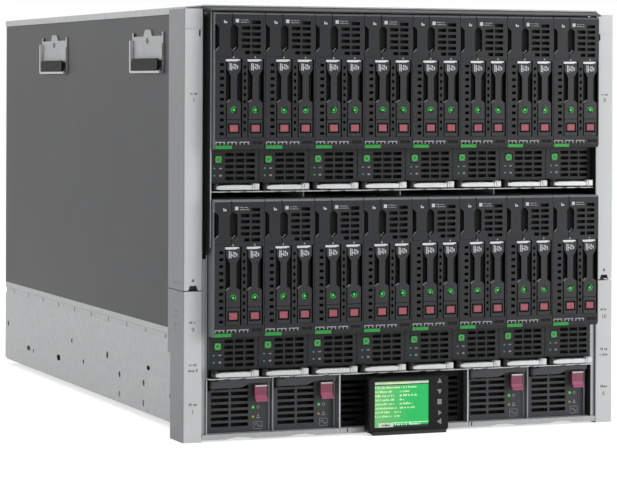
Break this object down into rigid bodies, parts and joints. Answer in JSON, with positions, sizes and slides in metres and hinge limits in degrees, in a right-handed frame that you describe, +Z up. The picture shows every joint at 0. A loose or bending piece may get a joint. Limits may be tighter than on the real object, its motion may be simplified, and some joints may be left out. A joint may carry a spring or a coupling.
{
  "type": "blade server chassis",
  "caption": "Rack enclosure with two rows of sliding blade servers, power supplies, a tilting status display, side bezels and rear fan and network modules.",
  "frame": {"origin": "on the floor, under the middle of the bottom pan's centre runner", "axes": "+X to the right seen from the front, +Y towards the rear, +Z up"},
  "size_m": [0.4892, 0.8231, 0.4445],
  "materials": {
    "zinc_sheet": "zinc-plated sheet",
    "dark_paint": "fine-grained satin paint",
    "light_sheet": "plain pre-coated sheet",
    "front_trim": "bright sheet edges",
    "bezel": "silver-painted moulding",
    "cage": "plain sheet",
    "board": "solder-mask green board",
    "fan": "black moulding",
    "module_case": "grey paint",
    "handle_steel": "bright pressed plate",
    "carriage": "black moulding",
    "display": "black gloss moulding",
    "blade": "charcoal moulding on a sheet sled",
    "lever": "silver-painted die casting",
    "power_supply": "charcoal paint",
    "power_handle": "grey moulding"
  },
  "bodies": {
    "enclosure": {"base_pan": "zinc_sheet", "left_side_panel": "dark_paint", "right_side_panel": "dark_paint", "lower_side_sheets": "light_sheet", "top_cover": "light_sheet", "front_frame": "front_trim", "left_bezel": "bezel", "right_bezel": "bezel", "rack_ears": "zinc_sheet", "bay_shelves": "front_trim", "power_cage": "cage", "midplane": "board", "rear_cage": "cage", "fan_modules": "fan", "interconnect_modules": "module_case", "management_modules": "module_case", "power_input_panel": "module_case", "lift_handles": "handle_steel"},
    "blade_01": {"blade_01": "blade"},
    "blade_02": {"blade_02": "blade"},
    "blade_03": {"blade_03": "blade"},
    "blade_04": {"blade_04": "blade"},
    "blade_05": {"blade_05": "blade"},
    "blade_06": {"blade_06": "blade"},
    "blade_07": {"blade_07": "blade"},
    "blade_08": {"blade_08": "blade"},
    "blade_09": {"blade_09": "blade"},
    "blade_10": {"blade_10": "blade"},
    "blade_11": {"blade_11": "blade"},
    "blade_12": {"blade_12": "blade"},
    "blade_13": {"blade_13": "blade"},
    "blade_14": {"blade_14": "blade"},
    "blade_15": {"blade_15": "blade"},
    "blade_16": {"blade_16": "blade"},
    "blade_lever_01": {"blade_lever_01": "lever"},
    "blade_lever_02": {"blade_lever_02": "lever"},
    "blade_lever_03": {"blade_lever_03": "lever"},
    "blade_lever_04": {"blade_lever_04": "lever"},
    "blade_lever_05": {"blade_lever_05": "lever"},
    "blade_lever_06": {"blade_lever_06": "lever"},
    "blade_lever_07": {"blade_lever_07": "lever"},
    "blade_lever_08": {"blade_lever_08": "lever"},
    "blade_lever_09": {"blade_lever_09": "lever"},
    "blade_lever_10": {"blade_lever_10": "lever"},
    "blade_lever_11": {"blade_lever_11": "lever"},
    "blade_lever_12": {"blade_lever_12": "lever"},
    "blade_lever_13": {"blade_lever_13": "lever"},
    "blade_lever_14": {"blade_lever_14": "lever"},
    "blade_lever_15": {"blade_lever_15": "lever"},
    "blade_lever_16": {"blade_lever_16": "lever"},
    "power_supply_1": {"power_supply_1": "power_supply"},
    "power_supply_2": {"power_supply_2": "power_supply"},
    "power_supply_5": {"power_supply_5": "power_supply"},
    "power_supply_6": {"power_supply_6": "power_supply"},
    "power_supply_handle_1": {"power_supply_handle_1": "power_handle"},
    "power_supply_handle_2": {"power_supply_handle_2": "power_handle"},
    "power_supply_handle_5": {"power_supply_handle_5": "power_handle"},
    "power_supply_handle_6": {"power_supply_handle_6": "power_handle"},
    "display_carriage": {"display_carriage": "carriage"},
    "status_display": {"status_display": "display"}
  },
  "joints": [
    {"name": "blade_slide_01", "type": "slide", "parent": "enclosure", "child": "blade_01", "axis": [0, -1, 0], "range_m": [0, 0.45]},
    {"name": "blade_lever_swing_01", "type": "hinge", "parent": "blade_01", "child": "blade_lever_01", "pos_m": [-0.21275, -0.3976, 0.2595], "axis": [0, 0, -1], "range_deg": [0, 80]},
    {"name": "blade_slide_02", "type": "slide", "parent": "enclosure", "child": "blade_02", "axis": [0, -1, 0], "range_m": [0, 0.45]},
    {"name": "blade_lever_swing_02", "type": "hinge", "parent": "blade_02", "child": "blade_lever_02", "pos_m": [-0.15815, -0.3976, 0.2595], "axis": [0, 0, -1], "range_deg": [0, 80]},
    {"name": "blade_slide_03", "type": "slide", "parent": "enclosure", "child": "blade_03", "axis": [0, -1, 0], "range_m": [0, 0.45]},
    {"name": "blade_lever_swing_03", "type": "hinge", "parent": "blade_03", "child": "blade_lever_03", "pos_m": [-0.10355, -0.3976, 0.2595], "axis": [0, 0, -1], "range_deg": [0, 80]},
    {"name": "blade_slide_04", "type": "slide", "parent": "enclosure", "child": "blade_04", "axis": [0, -1, 0], "range_m": [0, 0.45]},
    {"name": "blade_lever_swing_04", "type": "hinge", "parent": "blade_04", "child": "blade_lever_04", "pos_m": [-0.04895, -0.3976, 0.2595], "axis": [0, 0, -1], "range_deg": [0, 80]},
    {"name": "blade_slide_05", "type": "slide", "parent": "enclosure", "child": "blade_05", "axis": [0, -1, 0], "range_m": [0, 0.45]},
    {"name": "blade_lever_swing_05", "type": "hinge", "parent": "blade_05", "child": "blade_lever_05", "pos_m": [0.00565, -0.3976, 0.2595], "axis": [0, 0, -1], "range_deg": [0, 80]},
    {"name": "blade_slide_06", "type": "slide", "parent": "enclosure", "child": "blade_06", "axis": [0, -1, 0], "range_m": [0, 0.45]},
    {"name": "blade_lever_swing_06", "type": "hinge", "parent": "blade_06", "child": "blade_lever_06", "pos_m": [0.06025, -0.3976, 0.2595], "axis": [0, 0, -1], "range_deg": [0, 80]},
    {"name": "blade_slide_07", "type": "slide", "parent": "enclosure", "child": "blade_07", "axis": [0, -1, 0], "range_m": [0, 0.45]},
    {"name": "blade_lever_swing_07", "type": "hinge", "parent": "blade_07", "child": "blade_lever_07", "pos_m": [0.11485, -0.3976, 0.2595], "axis": [0, 0, -1], "range_deg": [0, 80]},
    {"name": "blade_slide_08", "type": "slide", "parent": "enclosure", "child": "blade_08", "axis": [0, -1, 0], "range_m": [0, 0.45]},
    {"name": "blade_lever_swing_08", "type": "hinge", "parent": "blade_08", "child": "blade_lever_08", "pos_m": [0.16945, -0.3976, 0.2595], "axis": [0, 0, -1], "range_deg": [0, 80]},
    {"name": "blade_slide_09", "type": "slide", "parent": "enclosure", "child": "blade_09", "axis": [0, -1, 0], "range_m": [0, 0.45]},
    {"name": "blade_lever_swing_09", "type": "hinge", "parent": "blade_09", "child": "blade_lever_09", "pos_m": [-0.21275, -0.3976, 0.0693], "axis": [0, 0, -1], "range_deg": [0, 80]},
    {"name": "blade_slide_10", "type": "slide", "parent": "enclosure", "child": "blade_10", "axis": [0, -1, 0], "range_m": [0, 0.45]},
    {"name": "blade_lever_swing_10", "type": "hinge", "parent": "blade_10", "child": "blade_lever_10", "pos_m": [-0.15815, -0.3976, 0.0693], "axis": [0, 0, -1], "range_deg": [0, 80]},
    {"name": "blade_slide_11", "type": "slide", "parent": "enclosure", "child": "blade_11", "axis": [0, -1, 0], "range_m": [0, 0.45]},
    {"name": "blade_lever_swing_11", "type": "hinge", "parent": "blade_11", "child": "blade_lever_11", "pos_m": [-0.10355, -0.3976, 0.0693], "axis": [0, 0, -1], "range_deg": [0, 80]},
    {"name": "blade_slide_12", "type": "slide", "parent": "enclosure", "child": "blade_12", "axis": [0, -1, 0], "range_m": [0, 0.45]},
    {"name": "blade_lever_swing_12", "type": "hinge", "parent": "blade_12", "child": "blade_lever_12", "pos_m": [-0.04895, -0.3976, 0.0693], "axis": [0, 0, -1], "range_deg": [0, 80]},
    {"name": "blade_slide_13", "type": "slide", "parent": "enclosure", "child": "blade_13", "axis": [0, -1, 0], "range_m": [0, 0.45]},
    {"name": "blade_lever_swing_13", "type": "hinge", "parent": "blade_13", "child": "blade_lever_13", "pos_m": [0.00565, -0.3976, 0.0693], "axis": [0, 0, -1], "range_deg": [0, 80]},
    {"name": "blade_slide_14", "type": "slide", "parent": "enclosure", "child": "blade_14", "axis": [0, -1, 0], "range_m": [0, 0.45]},
    {"name": "blade_lever_swing_14", "type": "hinge", "parent": "blade_14", "child": "blade_lever_14", "pos_m": [0.06025, -0.3976, 0.0693], "axis": [0, 0, -1], "range_deg": [0, 80]},
    {"name": "blade_slide_15", "type": "slide", "parent": "enclosure", "child": "blade_15", "axis": [0, -1, 0], "range_m": [0, 0.45]},
    {"name": "blade_lever_swing_15", "type": "hinge", "parent": "blade_15", "child": "blade_lever_15", "pos_m": [0.11485, -0.3976, 0.0693], "axis": [0, 0, -1], "range_deg": [0, 80]},
    {"name": "blade_slide_16", "type": "slide", "parent": "enclosure", "child": "blade_16", "axis": [0, -1, 0], "range_m": [0, 0.45]},
    {"name": "blade_lever_swing_16", "type": "hinge", "parent": "blade_16", "child": "blade_lever_16", "pos_m": [0.16945, -0.3976, 0.0693], "axis": [0, 0, -1], "range_deg": [0, 80]},
    {"name": "power_supply_slide_1", "type": "slide", "parent": "enclosure", "child": "power_supply_1", "axis": [0, -1, 0], "range_m": [0, 0.36]},
    {"name": "power_supply_handle_swing_1", "type": "hinge", "parent": "power_supply_1", "child": "power_supply_handle_1", "pos_m": [-0.2121, -0.3876, 0.0575], "axis": [0, 0, -1], "range_deg": [0, 75]},
    {"name": "power_supply_slide_2", "type": "slide", "parent": "enclosure", "child": "power_supply_2", "axis": [0, -1, 0], "range_m": [0, 0.36]},
    {"name": "power_supply_handle_swing_2", "type": "hinge", "parent": "power_supply_2", "child": "power_supply_handle_2", "pos_m": [-0.1395, -0.3876, 0.0575], "axis": [0, 0, -1], "range_deg": [0, 75]},
    {"name": "power_supply_slide_5", "type": "slide", "parent": "enclosure", "child": "power_supply_5", "axis": [0, -1, 0], "range_m": [0, 0.36]},
    {"name": "power_supply_handle_swing_5", "type": "hinge", "parent": "power_supply_5", "child": "power_supply_handle_5", "pos_m": [0.0795, -0.3876, 0.0575], "axis": [0, 0, -1], "range_deg": [0, 75]},
    {"name": "power_supply_slide_6", "type": "slide", "parent": "enclosure", "child": "power_supply_6", "axis": [0, -1, 0], "range_m": [0, 0.36]},
    {"name": "power_supply_handle_swing_6", "type": "hinge", "parent": "power_supply_6", "child": "power_supply_handle_6", "pos_m": [0.1521, -0.3876, 0.0575], "axis": [0, 0, -1], "range_deg": [0, 75]},
    {"name": "display_slide", "type": "slide", "parent": "enclosure", "child": "display_carriage", "axis": [1, 0, 0], "range_m": [-0.024, 0.024]},
    {"name": "display_tilt", "type": "hinge", "parent": "display_carriage", "child": "status_display", "pos_m": [-0.0015, -0.4008, 0.0553], "axis": [-1, 0, 0], "range_deg": [0, 60]}
  ]
}
